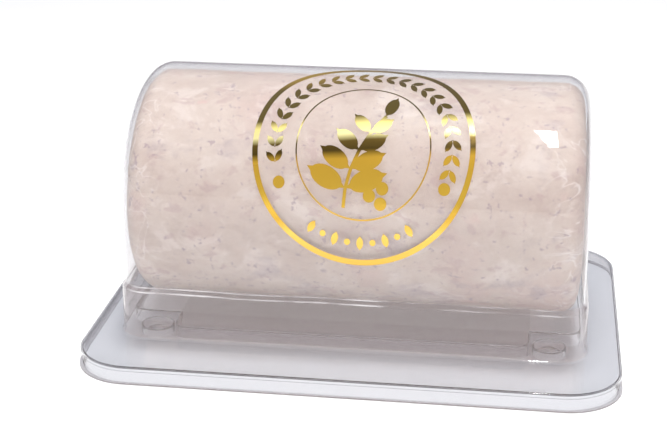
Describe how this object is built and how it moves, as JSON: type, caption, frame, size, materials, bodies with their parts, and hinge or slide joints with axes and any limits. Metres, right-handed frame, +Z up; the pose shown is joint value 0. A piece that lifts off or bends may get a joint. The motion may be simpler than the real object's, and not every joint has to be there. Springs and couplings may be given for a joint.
{
  "type": "packed cheese log",
  "caption": "Thick soft cheese log lying in a clear tunnel-shaped lid over a shallow clear tray with a wide flange",
  "frame": {"origin": "on the table under the middle of the pack", "axes": "+X along the log, +Y across the pack, +Z up"},
  "size_m": [0.1966, 0.1402, 0.0987],
  "materials": {
    "cheese": "soft moist fresh cheese, pinkish cream with small dark fruit specks",
    "lid_film": "clear thermoformed film, glossy",
    "tray_film": "clear thermoformed sheet, glossy",
    "foil_print": "thin gold foil print on the lid"
  },
  "bodies": {
    "root": {"cheese_log": "cheese", "lid": "lid_film", "tray": "tray_film"}
  },
  "joints": []
}
